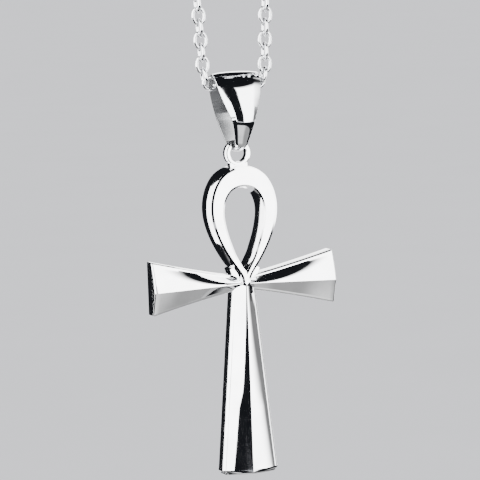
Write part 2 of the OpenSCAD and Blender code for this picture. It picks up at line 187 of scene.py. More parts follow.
class AnkhSizes(bpy.types.PropertyGroup):
    stem_len: FloatProperty(
        name="Stem length", description="From the crossing down to the foot",
        default=26.6 * MM, unit="LENGTH")
    stem_foot: FloatProperty(
        name="Stem foot", description="Width of the stem's face at its foot", default=7.5 * MM, unit="LENGTH")
    stem_top: FloatProperty(
        name="Stem top", description="Width of the stem's face at its top", default=2.5 * MM, unit="LENGTH")
    foot_corner: FloatProperty(
        name="Foot corner", description="Radius of the foot's two corners", default=0.5 * MM, unit="LENGTH")
    arm_span: FloatProperty(
        name="Arm span", description="From one arm's end to the other's", default=27.1 * MM, unit="LENGTH")
    arm_end: FloatProperty(
        name="Arm end", description="Height of an arm's face at its end", default=6.7 * MM, unit="LENGTH")
    arm_root: FloatProperty(
        name="Arm root", description="Height of an arm's face at the knot", default=1.0 * MM, unit="LENGTH")
    arm_curve: FloatProperty(
        name="Arm curve", description="1 is a straight edge, more is hollower", default=1.2)
    arm_rise: FloatProperty(
        name="Arm rise", description="Height of the arms above the crossing",
        default=0.45 * MM, unit="LENGTH")
    ridge_drop: FloatProperty(
        name="Ridge drop", description="Drop of the arms' ridges at the ends",
        default=0.45 * MM, unit="LENGTH")
    ridge_depth: FloatProperty(
        name="Ridge depth", description="From the flat back to the ridges", default=3.2 * MM, unit="LENGTH")
    wall_depth: FloatProperty(
        name="Wall depth", description="Depth of the flat side walls", default=1.75 * MM, unit="LENGTH")
    bevel_depth: FloatProperty(
        name="Bevel depth", description="Depth of the bevel round the face", default=0.3 * MM, unit="LENGTH")
    bevel_w: FloatProperty(
        name="Bevel width", description="Width of that bevel along the sides",
        default=0.4 * MM, unit="LENGTH")
    end_bevel: FloatProperty(
        name="End bevel", description="Width of the bevel at the ends", default=0.25 * MM, unit="LENGTH")
    loop_w: FloatProperty(
        name="Loop width", description="Width of the loop's face", default=9.5 * MM, unit="LENGTH")
    loop_h: FloatProperty(
        name="Loop height", description="Height of the loop's face", default=16.7 * MM, unit="LENGTH")
    hole_w: FloatProperty(
        name="Hole width", description="Width of the hole in the loop", default=6.2 * MM, unit="LENGTH")
    hole_h: FloatProperty(
        name="Hole height", description="Height of the hole in the loop", default=12.3 * MM, unit="LENGTH")
    tip_rise: FloatProperty(
        name="Tip rise", description="Height of the loop's tip over the crossing",
        default=0.1 * MM, unit="LENGTH")
    hole_rise: FloatProperty(
        name="Hole rise", description="Height of the hole above the loop's tip",
        default=1.85 * MM, unit="LENGTH")
    loop_depth: FloatProperty(
        name="Loop depth", description="Depth of the loop", default=3.3 * MM, unit="LENGTH")
    loop_bevel: FloatProperty(
        name="Loop flare", description="How far the outer wall flares out", default=0.4 * MM, unit="LENGTH")
    hole_bevel: FloatProperty(
        name="Hole flare", description="How far the hole's wall flares in", default=0.34 * MM, unit="LENGTH")
    loop_round: FloatProperty(
        name="Loop edge", description="Depth of the shallow bevel on the face",
        default=0.1 * MM, unit="LENGTH")
    loop_lean: FloatProperty(
        name="Loop lean", description="Depth at which the walls turn straight",
        default=1.25 * MM, unit="LENGTH")
    collar_span: FloatProperty(
        name="Collar span", description="Span of the collar at the knot", default=4.4 * MM, unit="LENGTH")
    collar_h: FloatProperty(
        name="Collar height", description="Height of the collar's ends", default=0.8 * MM, unit="LENGTH")
    collar_top: FloatProperty(
        name="Collar top", description="Height of the collar's corners", default=2.5 * MM, unit="LENGTH")
    collar_depth: FloatProperty(
        name="Collar depth", description="Depth of the collar", default=2.6 * MM, unit="LENGTH")
    eye_hole: FloatProperty(
        name="Eye hole", description="Radius of the eye's hole", default=1.2 * MM, unit="LENGTH")
    eye_ring: FloatProperty(
        name="Eye ring", description="Width of the eye's ring", default=0.67 * MM, unit="LENGTH")
    eye_thick: FloatProperty(
        name="Eye thickness", description="Thickness of the eye and its neck",
        default=1.2 * MM, unit="LENGTH")
    neck_w: FloatProperty(
        name="Neck width", description="Width of the neck under the eye", default=2.7 * MM, unit="LENGTH")
    neck_h: FloatProperty(
        name="Neck height", description="Height of the neck under the eye", default=0.65 * MM, unit="LENGTH")
    soft: FloatProperty(
        name="Soft ridge", description="How far the facets flatten towards the ridge",
        default=0.6, min=0, max=1, subtype="FACTOR")
    soft_foot: FloatProperty(
        name="Soft foot", description="How much more the stem's lower half flattens",
        default=0.22, min=0, max=1, subtype="FACTOR")
    edge: FloatProperty(
        name="Edge", description="Radius that polishing leaves on the edges",
        default=0.05 * MM, unit="LENGTH")


class BailSizes(bpy.types.PropertyGroup):
    height: FloatProperty(
        name="Height", description="Height of the opening inside", default=10.2 * MM, unit="LENGTH")
    top_w: FloatProperty(name="Top width", description="Width at the top", default=6.8 * MM, unit="LENGTH")
    waist_w: FloatProperty(
        name="Waist width", description="Width where the leaves turn in", default=3.3 * MM, unit="LENGTH")
    foot_w: FloatProperty(name="Foot width", description="Width at the foot", default=1.5 * MM, unit="LENGTH")
    roll_d: FloatProperty(
        name="Roll depth", description="Depth inside the roll", default=3.7 * MM, unit="LENGTH")
    waist_d: FloatProperty(
        name="Waist depth", description="Depth inside the waist", default=6.3 * MM, unit="LENGTH")
    foot_d: FloatProperty(
        name="Foot depth", description="Depth inside the foot", default=4.2 * MM, unit="LENGTH")
    wall: FloatProperty(
        name="Wall", description="Thickness along the middle of the crowned leaves",
        default=0.88 * MM, unit="LENGTH")
    foot_wall: FloatProperty(
        name="Foot wall", description="Thickness at the foot", default=0.5 * MM, unit="LENGTH")
    roll_wall: FloatProperty(
        name="Roll wall", description="Thickness along the middle of the roll",
        default=0.5 * MM, unit="LENGTH")
    rim: FloatProperty(
        name="Rim", description="Thickness of the sheet at its edges", default=0.25 * MM, unit="LENGTH")
    panel: FloatProperty(
        name="Panel", description="Share of the width between the two edge bevels",
        default=0.69, min=0, max=1, subtype="FACTOR")
    crown: FloatProperty(
        name="Crown", description="Share of the leaf's rise that is in its panel",
        default=0.38, min=0, max=1, subtype="FACTOR")
    edge: FloatProperty(
        name="Edge", description="Radius that polishing leaves on the edges",
        default=0.05 * MM, unit="LENGTH")


class ChainSizes(bpy.types.PropertyGroup):
    link_len: FloatProperty(
        name="Link length", description="Outer length of a link", default=2.75 * MM, unit="LENGTH")
    link_w: FloatProperty(
        name="Link width", description="Outer width of a link", default=2.15 * MM, unit="LENGTH")
    wire: FloatProperty(name="Wire", description="Diameter of the wire", default=0.5 * MM, unit="LENGTH")
    sides: IntProperty(name="Link sides", description="Steps round a link", default=16, min=3)
    wire_sides: IntProperty(name="Wire sides", description="Sides of the wire", default=6, min=3)


class ClaspSizes(bpy.types.PropertyGroup):
    length: FloatProperty(name="Length", description="Length of the clasp", default=11.0 * MM, unit="LENGTH")
    hook_w: FloatProperty(name="Hook width", description="Width at the hook", default=4.4 * MM, unit="LENGTH")
    tail_w: FloatProperty(name="Tail width", description="Width at the eye", default=2.6 * MM, unit="LENGTH")
    thick: FloatProperty(
        name="Thickness", description="Thickness of the clasp", default=1.0 * MM, unit="LENGTH")
    hook_hole: FloatProperty(
        name="Hook opening", description="Radius of the opening in the hook", default=1.2 * MM, unit="LENGTH")
    tail_hole: FloatProperty(
        name="Eye hole", description="Radius of the hole in the eye", default=0.65 * MM, unit="LENGTH")


class SteelFinish(bpy.types.PropertyGroup):
    bright: FloatVectorProperty(
        name="Bright steel", description="Colour of the polished casting", subtype="COLOR", size=3,
        min=0, max=1, default=(0.9, 0.905, 0.92))
    plain: FloatVectorProperty(
        name="Plain steel", description="Colour of the sheet and the wire", subtype="COLOR", size=3,
        min=0, max=1, default=(0.8, 0.81, 0.83))
    roughness: FloatProperty(
        name="Roughness", description="Roughness of the polished steel",
        default=0.045, min=0, max=1, subtype="FACTOR")
    wear: FloatProperty(
        name="Wear", description="How much fine wear shows", default=0.35, min=0, max=1, subtype="FACTOR")


class StageLook(bpy.types.PropertyGroup):
    floor: FloatVectorProperty(
        name="Floor", description="Colour of the floor", subtype="COLOR", size=3, min=0, max=1,
        default=(0.8, 0.8, 0.81))
    light: FloatProperty(
        name="Light", description="Strength of all the light, against the plain set", default=1.0, min=0)


def in_mm(group):
    """A group's sizes, with its lengths in millimetres."""
    kinds = group.bl_rna.properties
    values = {key: getattr(group, key) for key in group.__annotations__}
    return SimpleNamespace(**{
        key: value / MM if kinds[key].unit == "LENGTH" else value for key, value in values.items()})


def mix(a, b, share):
    """The value that lies a share of the way from a to b."""
    return a + (b - a) * share


def curve_point(a, b, c, d, t):
    """A point of the smooth curve through b and c, with their neighbours a and d."""
    return b + 0.5 * t * (c - a + t * (2 * a - 5 * b + 4 * c - d + t * (3 * (b - c) + d - a)))


def smooth_rows(rows, steps):
    """Rows of a closed table, with more rows along the smooth curve through them."""
    found, n = [], len(rows)
    for i in range(n):
        near = [rows[(i + k) % n] for k in (-1, 0, 1, 2)]
        found += [tuple(curve_point(*column, k / steps) for column in zip(*near)) for k in range(steps)]
    return found


def outward(points, i):
    """Outward direction of a closed outline at point i, for an outline that runs against the clock."""
    a, b = points[i - 1], points[(i + 1) % len(points)]
    along = Vector((b[0] - a[0], b[1] - a[1])).normalized()
    return Vector((along.y, -along.x))


def principled(name):
    """A new material with its shader, and the object's own coordinates to draw patterns on."""
    made = bpy.data.materials.new(name)
    made.use_nodes = True
    nodes, links = made.node_tree.nodes, made.node_tree.links
    place = nodes.new("ShaderNodeTexCoord")
    return made, nodes, links, nodes["Principled BSDF"], place.outputs["Object"]


def noise(nodes, links, place, scale, detail=3.0, stretch=(1, 1, 1)):
    """A noise pattern with its spots about 1/scale metres across, drawn out where stretch is low."""
    turn = nodes.new("ShaderNodeMapping")
    turn.inputs["Scale"].default_value = stretch
    links.new(place, turn.inputs["Vector"])
    made = nodes.new("ShaderNodeTexNoise")
    made.inputs["Scale"].default_value = scale
    made.inputs["Detail"].default_value = detail
    links.new(turn.outputs["Vector"], made.inputs["Vector"])
    return made.outputs["Fac"]


def spread(nodes, links, value, low, high, start=0.35, end=0.65):
    """A value in a pattern, mapped from its start and end to low and high."""
    made = nodes.new("ShaderNodeMapRange")
    made.inputs["From Min"].default_value = start
    made.inputs["From Max"].default_value = end
    made.inputs["To Min"].default_value = low
    made.inputs["To Max"].default_value = high
    links.new(value, made.inputs["Value"])
    return made.outputs["Result"]


def blended(nodes, links, first, second, share):
    """A colour, which is given or comes from a node, mixed with a second one by a node's value."""
    made = nodes.new("ShaderNodeMix")
    made.data_type = "RGBA"
    if isinstance(first, bpy.types.NodeSocket):
        links.new(first, made.inputs["A"])
    else:
        made.inputs["A"].default_value = (*first, 1)
    made.inputs["B"].default_value = (*second, 1)
    links.new(share, made.inputs["Factor"])
    return made.outputs["Result"]


def worked_out(nodes, links, operation, *values):
    """The result of one operation on values, each of which is a number or comes from a node."""
    made = nodes.new("ShaderNodeMath")
    made.operation = operation
    for value, place in zip(values, made.inputs):
        if isinstance(value, bpy.types.NodeSocket):
            links.new(value, place)
        else:
            place.default_value = value
    return made.outputs["Value"]


def polished_steel(name, colour, roughness, wear, dark=0.9, wave=0.00003, inside=""):
    """Polished steel: a mirror with haze, hairlines, a waviness as deep as wave, in metres, and patches that
    are dark times its colour. Where the attribute named by inside is 1, the steel is duller and has painted
    shade."""
    made, nodes, links, shader, place = principled(name)
    shader.inputs["Metallic"].default_value = 1.0
    patches = spread(nodes, links, noise(nodes, links, place, TINT_SPOTS, 4), 0, 1)
    tint = blended(nodes, links, colour, [c * dark for c in colour], patches)
    spots = noise(nodes, links, place, HAZE_SPOTS, 5)
    haze = spread(nodes, links, spots, roughness * 0.7, roughness + 0.06 * wear)
    hairs = noise(nodes, links, place, HAIR_SPOTS, 2, (1, 1, 0.06))
    rough = worked_out(nodes, links, "ADD", haze, spread(nodes, links, hairs, 0, 0.07 * wear, 0.5, 0.8))
    if inside:
        mark = nodes.new("ShaderNodeAttribute")
        mark.attribute_name = inside
        # Painted shade: the inside of the bail is darkened to a share of the steel's colour.
        tint = blended(nodes, links, tint, [c * INSIDE_PAINTED_SHADE for c in colour], mark.outputs["Fac"])
        rough = worked_out(nodes, links, "MULTIPLY_ADD", mark.outputs["Fac"], INSIDE_ROUGH, rough)
    links.new(tint, shader.inputs["Base Color"])
    links.new(rough, shader.inputs["Roughness"])
    swell = nodes.new("ShaderNodeBump")
    swell.inputs["Strength"].default_value = 0.5
    swell.inputs["Distance"].default_value = wave
    links.new(noise(nodes, links, place, WAVE_SPOTS, 1), swell.inputs["Height"])
    fine = nodes.new("ShaderNodeBump")
    fine.inputs["Strength"].default_value = 0.25 * wear
    fine.inputs["Distance"].default_value = HAIR_DEPTH
    links.new(hairs, fine.inputs["Height"])
    links.new(swell.outputs["Normal"], fine.inputs["Normal"])
    links.new(fine.outputs["Normal"], shader.inputs["Normal"])
    return made


def piece(name, bm, material, body, nodes, edge=0.0, angle=12):
    """Makes an object of a mesh in millimetres: in metres, facing outwards, riding on its body.
    Its edges over the angle, in degrees, are sharp, and are rounded where an edge radius is given."""
    bmesh.ops.remove_doubles(bm, verts=bm.verts, dist=WELD)
    bmesh.ops.dissolve_degenerate(bm, edges=bm.edges, dist=SLIVER)
    bmesh.ops.recalc_face_normals(bm, faces=bm.faces)
    bmesh.ops.scale(bm, vec=(MM, MM, MM), verts=bm.verts)
    for face in bm.faces:
        face.smooth = True
    mesh = bpy.data.meshes.new(name)
    bm.to_mesh(mesh)
    bm.free()
    mesh.set_sharp_from_angle(angle=radians(angle))
    mesh.materials.append(material)
    made = bpy.data.objects.new(name, mesh)
    bpy.context.scene.collection.objects.link(made)
    if edge:
        rounding = made.modifiers.new("Polished edges", "BEVEL")
        rounding.width = edge * MM
        rounding.segments = 2
        rounding.profile = 0.5
        rounding.limit_method = "ANGLE"
        rounding.angle_limit = radians(angle)
        rounding.harden_normals = True
        rounding.miter_outer = "MITER_ARC"
    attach(made, body)
    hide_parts(*nodes)


def sweep(bm, sections, closed=False):
    """Extrudes the first section through those that follow, and closes the form on itself or at both ends."""
    start = [bm.verts.new(p) for p in sections[0]]
    edges = [bm.edges.new((a, b)) for a, b in zip(start, start[1:] + start[:1])]
    if not closed:
        bmesh.ops.contextual_create(bm, geom=edges)
    ring = start
    for section in sections[1:] + (sections[:1] if closed else []):
        out = bmesh.ops.extrude_edge_only(bm, edges=edges)["geom"]
        fresh = {v for v in out if isinstance(v, bmesh.types.BMVert)}
        edges = [e for e in out if isinstance(e, bmesh.types.BMEdge) and set(e.verts) <= fresh]
        ring = [next(e.other_vert(v) for e in v.link_edges if e.other_vert(v) in fresh) for v in ring]
        for vert, point in zip(ring, section):
            vert.co = point
    if not closed:
        bmesh.ops.contextual_create(bm, geom=edges)
    return bm


def rounded(start, end, first, steps=8):
    """Points of a rounded edge from a facet's end to a wall: it starts at the first tilt and ends square."""
    points = []
    for k in range(1, steps + 1):
        a = mix(first, pi / 2, k / steps)
        across = (sin(a) - sin(first)) / (1 - sin(first))
        back = (cos(first) - cos(a)) / cos(first)
        points.append((mix(start[0], end[0], back), mix(start[1], end[1], across)))
    return points


def crowned(edge, ridge, soft, steps=10):
    """Points of a facet from its outer edge to near the ridge, where it lies flatter over a soft share of its
    width, and the facet's tilt at that edge."""
    run, rise = ridge[1] - edge[1], edge[0] - ridge[0]
    tilt, length = atan(abs(rise / run)), hypot(run, rise)
    if not soft:
        return [tuple(mix(a, b, share) for a, b in zip(edge, ridge)) for share in FACET_LINES], tilt
    near = length * max(soft - SOFT_LOSS * tilt, LEAST_SOFT)
    bend = (ridge[0] + near * sin(RIDGE_SLOPE), ridge[1] - near * cos(RIDGE_SLOPE) * (1 if run > 0 else -1))
    # A cubic curve, which sets off from the edge towards the bend and comes to the ridge from it.
    pulls = (edge, [mix(a, b, 0.5) for a, b in zip(edge, bend)], bend, ridge)
    points = []
    for k in range(steps):
        u = k / steps
        weights = ((1 - u) ** 3, 3 * u * (1 - u) ** 2, 3 * u * u * (1 - u), u ** 3)
        points.append(tuple(sum(w * pull[j] for w, pull in zip(weights, pulls)) for j in (0, 1)))
    return points, atan(abs((edge[0] - bend[0]) / (edge[1] - bend[1])))


def limb_section(s, half_w, back_off, ridge_off, soft):
    """The section of an arm or the stem, as depth and distance across: a flat back, walls, rounded edges and
    two facets, each with its own soft share."""
    face_y, edge_y = BACK_Y - s.wall_depth - s.bevel_depth + back_off / 2, BACK_Y - s.wall_depth
    ridge = (BACK_Y - s.ridge_depth + back_off, ridge_off)
    sides = []
    for side, share in zip((-1, 1), soft):
        edge = (face_y, side * half_w)
        facet, tilt = crowned(edge, ridge, share)
        wall = side * (half_w + s.bevel_w)
        corner = rounded(edge, (edge_y, wall), min(max(tilt + EDGE_TURN, LEAST_TURN), MOST_TURN))
        sides.append([(BACK_Y, wall), *reversed(corner), *facet])
    return sides[0] + [ridge] + sides[1][::-1]


def add_arms(bm, s):
    """Both arms in one sweep, with flat lower facets and soft upper ones."""
    reach, steps = s.arm_span / 2, 22

    def half_h(share):
        return mix(s.arm_root, s.arm_end, share ** s.arm_curve) / 2

    right = [((reach - s.end_bevel) * i / steps, half_h(i / steps), 0) for i in range(steps + 1)]
    right += end_stations(reach - s.end_bevel, half_h(1), s.end_bevel)
    stations = [(-x, h, b) for x, h, b in reversed(right[1:])] + right
    sweep(bm, [
        [(x, y, CROSS_Z + s.arm_rise + z)
         for y, z in limb_section(s, h, b, -s.ridge_drop * abs(x) / reach, (0, s.soft))]
        for x, h, b in stations
    ])


def end_stations(start, half, size, steps=8):
    """Stations of a rounded end: distance along, half the width, and how far the face is set back."""
    turns = [radians(90 * k / steps) for k in range(1, steps + 1)]
    return [(start + size * sin(a), half - size * (1 - cos(a)) / 2, size * (1 - cos(a))) for a in turns]


def add_stem(bm, s):
    """The stem from just above the crossing to its foot, which has rounded corners."""
    start, steps, turns = s.stem_len - s.end_bevel - s.foot_corner, 24, 8

    def half_w(share):
        return mix(s.stem_top, s.stem_foot, share) / 2

    stations = []
    for i in range(steps + 1):
        down = mix(-s.arm_rise * STEM_TUCK, start, i / steps)
        stations.append((down, half_w(down / s.stem_len), 0))
    for k in range(1, turns + 1):
        a = CORNER_TURN * k / turns
        stations.append((start + s.foot_corner * sin(a), half_w(1) - s.foot_corner * (1 - cos(a)), 0))
    stations += end_stations(s.stem_len - s.end_bevel, stations[-1][1], s.end_bevel)
    sections = []
    for down, w, b in stations:
        low = min(max((down / s.stem_len - SOFT_FROM) / SOFT_OVER, 0), 1)
        soft = s.soft + s.soft_foot * low * low * (3 - 2 * low)
        section = limb_section(s, w, b, 0, (soft, soft))
        sections.append([(x, min(y, BACK_Y - STEP_Y / 3), CROSS_Z - down) for y, x in section])
    sweep(bm, sections)


def add_loop(bm, s):
    """The loop, whose two walls lean away from its flat face before they run straight to the back."""
    rows = smooth_rows(LOOP_ROWS + [(-a, b, -c, d) for a, b, c, d in LOOP_ROWS[-2:0:-1]], 5)
    outer = [(r[0] * s.loop_w / 2, s.tip_rise + r[1] * s.loop_h) for r in rows]
    front, back, hole_z = BACK_Y - s.loop_depth, BACK_Y - STEP_Y, s.tip_rise + s.hole_rise
    sections = []
    for i, row in enumerate(rows):
        o = Vector(outer[i])
        h = Vector((row[2] * s.hole_w / 2, hole_z + row[3] * s.hole_h))
        h_wall = Vector((row[2] * (s.hole_w / 2 - s.hole_bevel),
                         hole_z + mix(2 * s.hole_bevel, s.hole_h - s.hole_bevel, row[3])))
        out = outward(outer, i)
        # The outer wall flares less at the loop's top and tip than at its sides.
        o_wall = o + s.loop_bevel * mix(0.3, 1, abs(out.x)) * out
        h_face, h_rim = (mix(h, h_wall, share) for share in HOLE_RIMS)
        o_face, o_rim = o - s.loop_bevel * out / 2, mix(o, o_wall, OUTER_RIM)
        rim, lean = front + s.loop_round, front + s.loop_lean
        section = [(front, h_face), (rim, h_rim), (lean, h_wall), (back, h_wall),
                   (back, o_wall), (lean, o_wall), (rim, o_rim), (front, o_face)]
        sections.append([(x, y, CROSS_Z + z) for y, (x, z) in section])
    sweep(bm, sections, closed=True)


def add_plate(bm, outline, low_y, high_y):
    """An outline in x and z, made a plate between two depths."""
    verts = [bm.verts.new((x, low_y, z)) for x, z in outline]
    face = bm.faces.new(verts)
    out = bmesh.ops.extrude_face_region(bm, geom=[face], use_keep_orig=True)["geom"]
    moved = [v for v in out if isinstance(v, bmesh.types.BMVert)]
    bmesh.ops.translate(bm, vec=(0, high_y - low_y, 0), verts=moved)


def add_collar(bm, s):
    """The collar round the loop's tip: a plate with a wing on both sides."""
    wing, bottom, top = s.collar_span / 2, s.collar_top - s.collar_h, s.collar_top
    waist, fold, shoulder = wing / 5, s.tip_rise + (s.collar_top - s.collar_h) / 2, wing * 0.86
    right = [(waist, fold), (shoulder, bottom), (wing, top), (shoulder, top + s.collar_h / 4)]
    middle_top = s.tip_rise + s.hole_rise * 0.9
    outline = [(0, s.arm_rise), *right, (0, middle_top), *((-x, z) for x, z in reversed(right))]
    add_plate(bm, [(x, CROSS_Z + z) for x, z in outline], BACK_Y - s.collar_depth, BACK_Y - 2 * STEP_Y)


def add_ring(bm, centre, section, steps=64):
    """A ring about an axis along Y, from its section of radii and depths spun once round."""
    verts = [bm.verts.new((centre[0] + r, centre[1] + d, centre[2])) for r, d in section]
    edges = [bm.edges.new((a, b)) for a, b in zip(verts, verts[1:] + verts[:1])]
    bmesh.ops.spin(bm, geom=verts + edges, cent=centre, axis=(0, 1, 0), dvec=(0, 0, 0), angle=2 * pi,
                   steps=steps, use_merge=True, use_normal_flip=False, use_duplicate=False)


def add_eye(bm, s):
    """The eye on top of the loop, on a short neck. Its front is chamfered at the hole and rounded outside."""
    outside, half_y = s.eye_hole + s.eye_ring, s.eye_thick / 2
    chamfer, round_in, round_back = 0.1, 0.24, 0.45
    add_ring(bm, (0, 0, EYE_Z), [
        (s.eye_hole, chamfer - half_y), (s.eye_hole + chamfer, -half_y), (outside - round_in, -half_y),
        (outside - chamfer, chamfer * 0.3 - half_y), (outside, round_back - half_y),
        (outside, half_y), (s.eye_hole, half_y)])
    top = EYE_Z - s.eye_hole * NECK_END
    foot = EYE_Z - s.eye_hole - s.neck_h - s.eye_ring
    half, half_top, neck_y = s.neck_w / 2, s.neck_w / 2 * NECK_TAPER, half_y * NECK_THIN
    add_plate(bm, [(-half, foot), (half, foot), (half_top, top), (-half_top, top)], -neck_y, neck_y)


class PENDANT_OT_ankh(bpy.types.Operator):
    """Makes the ankh: its arms, stem, loop, collar and eye as one casting"""
    bl_idname = "pendant.ankh"
    bl_label = "Ankh"

    def execute(self, context):
        s, finish = in_mm(context.scene.pendant_ankh), context.scene.pendant_finish
        bm = bmesh.new()
        for add in (add_arms, add_stem, add_loop, add_collar, add_eye):
            add(bm, s)
        steel = polished_steel(
            "Polished casting", finish.bright, finish.roughness, finish.wear, wave=0.000002)
        piece("ankh_casting", bm, steel, "ankh", ["ankh"], edge=s.edge)
        return {"FINISHED"}


def bail_half(s):
    """Half of the bail's inner outline: distance below its top, half its depth and half its width."""
    rows, steps, turns, between = [], 12, 8, 6
    for k in range(steps):
        a = radians(90 * k / steps)
        rows.append((ROLL_END * s.height * (1 - cos(a)), s.roll_d / 2 * sin(a),
                     mix(s.top_w, s.waist_w, BAIL_LEAF[0][2] * (1 - cos(a))) / 2))
    leaf = [(share * s.height, mix(s.roll_d, s.waist_d, deep) / 2, mix(s.top_w, s.waist_w, wide) / 2)
            for share, deep, wide in BAIL_LEAF]
    foot = []
    for k in range(turns + 1):
        a = radians(90 * k / turns)
        down = s.height * (1 - FOOT_ROUND * (1 - sin(a)))
        share = (down / s.height - WAIST) / (1 - WAIST)
        foot.append((down, s.foot_d / 2 * cos(a), mix(s.waist_w, s.foot_w, share) / 2))
    near = [rows[-1], *leaf, foot[0]]
    for i in range(1, len(near) - 2):
        around = (near[i - 1], near[i], near[i + 1], near[i + 2])
        rows += [tuple(curve_point(*column, k / between) for column in zip(*around)) for k in range(between)]
    for k in range(steps):
        rows.append(tuple(mix(leaf[-1][j], foot[0][j], k / steps) for j in range(3)))
    # The bends are eased as far as the foot's first rows, and the rest of its round is kept as it is.
    return eased(rows + foot[:4], BEND_EASE)[:-1] + foot[3:]


def eased(rows, reach):
    """The rows with their bends eased over that distance, in millimetres, and their ends kept."""
    kept = [rows[0]]
    for i in range(1, len(rows) - 1):
        close = [r for r in rows if hypot(r[0] - rows[i][0], r[1] - rows[i][1]) < reach]
        low, high = rows.index(close[0]), rows.index(close[-1])
        width = min(i - low, high - i)
        near = rows[i - width:i + width + 1]
        kept.append(tuple(sum(r[j] for r in near) / len(near) for j in range(3)))
    return kept + [rows[-1]]


class PENDANT_OT_bail(bpy.types.Operator):
    """Makes the folded bail that the chain runs through"""
    bl_idname = "pendant.bail"
    bl_label = "Bail"

    def execute(self, context):
        s, finish = in_mm(context.scene.pendant_bail), context.scene.pendant_finish
        half = bail_half(s)
        rows = half + [(down, -deep, w) for down, deep, w in half[-2:0:-1]]
        side = [(-row[1], -row[0]) for row in rows]
        sections = []
        for i, (down, _, w) in enumerate(rows):
            p, out = Vector(side[i]), outward(side, i)
            # How far along the roll and how far into the foot's taper the row lies, both from 0 to 1.
            over = min(1, down / (ROLL_END * s.height))
            under = max(0, down / s.height - WAIST) / (1 - WAIST)
            wall = mix(mix(s.roll_wall, s.wall, over), s.foot_wall, under)
            flat = wall - (wall - s.rim) * s.crown
            section = [(-w, p), (-w, p + s.rim * out)]
            for k in range(-PANEL_STEPS, PANEL_STEPS + 1):
                share = k / PANEL_STEPS
                section.append((w * s.panel * share, p + mix(wall, flat, share ** 2) * out))
            section += [(w, p + s.rim * out), (w, p)]
            sections.append([(x, y, BAIL_TOP_Z + z) for x, (y, z) in section])
        bm = sweep(bmesh.new(), sections, closed=True)
        # The inside of the bail is marked, so that its steel is duller there and darkened with painted shade.
        inner = {tuple(round(c, 3) for c in section[end]) for section in sections for end in (0, -1)}
        mark = bm.verts.layers.float.new("inside")
        for v in bm.verts:
            v[mark] = tuple(round(c, 3) for c in v.co) in inner
        steel = polished_steel(
            "Polished sheet", finish.plain, finish.roughness * 1.2, finish.wear,
            wave=0.00001, inside="inside")
        piece("bail_strip", bm, steel, "bail", ["bail"], edge=s.edge, angle=14)
        return {"FINISHED"}


def chain_line():
    """The chain's whole route, with the distance along it at each corner."""
    corners = [(-x, z) for x, z in reversed(CHAIN_ROUTE)] + CHAIN_ROUTE[1:]
    corners = [(CHAIN_ENDS[0], 0), *corners, (CHAIN_ENDS[1], 0)]
    reach = [0.0]
    for (x0, z0), (x1, z1) in zip(corners, corners[1:]):
        reach.append(reach[-1] + hypot(x1 - x0, z1 - z0))
    return corners, reach


def point_at(corners, reach, distance):
    """The point of a route at a distance along it."""
    for (a, b), low, high in zip(zip(corners, corners[1:]), reach, reach[1:]):
        if distance <= high:
            t = (distance - low) / (high - low)
            return Vector((mix(a[0], b[0], t), 0, mix(a[1], b[1], t)))
    return Vector((corners[-1][0], 0, corners[-1][1]))


def link_mesh(s):
    """One oval link of round wire, lying in the XZ plane with its length along X."""
    bm = bmesh.new()
    bmesh.ops.create_circle(bm, segments=s.wire_sides, radius=s.wire / 2)
    r = (s.link_w - s.wire) / 2
    bmesh.ops.translate(bm, vec=(r, 0, 0), verts=bm.verts)
    bmesh.ops.spin(bm, geom=bm.verts[:] + bm.edges[:], cent=(0, 0, 0), axis=(0, 1, 0), dvec=(0, 0, 0),
                   angle=2 * pi, steps=s.sides, use_merge=True, use_normal_flip=False, use_duplicate=False)
    stretch = (s.link_len - s.link_w) / 2 / r
    for v in bm.verts:
        v.co.x += r * stretch * cos(atan2(v.co.z, v.co.x))
    return bm


class PENDANT_OT_chain(bpy.types.Operator):
    """Makes the cable chain of interlocking links along its route"""
    bl_idname = "pendant.chain"
    bl_label = "Chain"

    def execute(self, context):
        s, finish = in_mm(context.scene.pendant_chain), context.scene.pendant_finish
        corners, reach = chain_line()
        inner = s.link_len - 2 * s.wire
        count = 2 * round((reach[-1] - inner) / (inner - LINK_SLACK) / 2) + 1
        pitch = (reach[-1] - inner) / (count - 1)
        one = link_mesh(s)
        master = bpy.data.meshes.new("link")
        one.to_mesh(master)
        one.free()
        bm = bmesh.new()
        for i in range(count):
            a = point_at(corners, reach, i * pitch)
            b = point_at(corners, reach, i * pitch + inner)
            along = (b - a).normalized()
            # A link lies along its stretch of the route, and every second one is turned a quarter.
            turn = Matrix((along, Vector((0, 1, 0)), along.cross(Vector((0, 1, 0))))).transposed().to_4x4()
            roll = Matrix.Rotation(0 if i % 2 else pi / 2, 4, "X")
            place = Matrix.Translation((a + b) / 2) @ turn @ roll
            kept = len(bm.verts)
            bm.from_mesh(master)
            bm.verts.ensure_lookup_table()
            bmesh.ops.transform(bm, matrix=place, verts=bm.verts[kept:])
        bpy.data.meshes.remove(master)
        steel = polished_steel("Polished wire", finish.plain, finish.roughness * 2, finish.wear, wave=0.00001)
        piece("chain_links", bm, steel, "chain", ["chain"], angle=80)
        return {"FINISHED"}


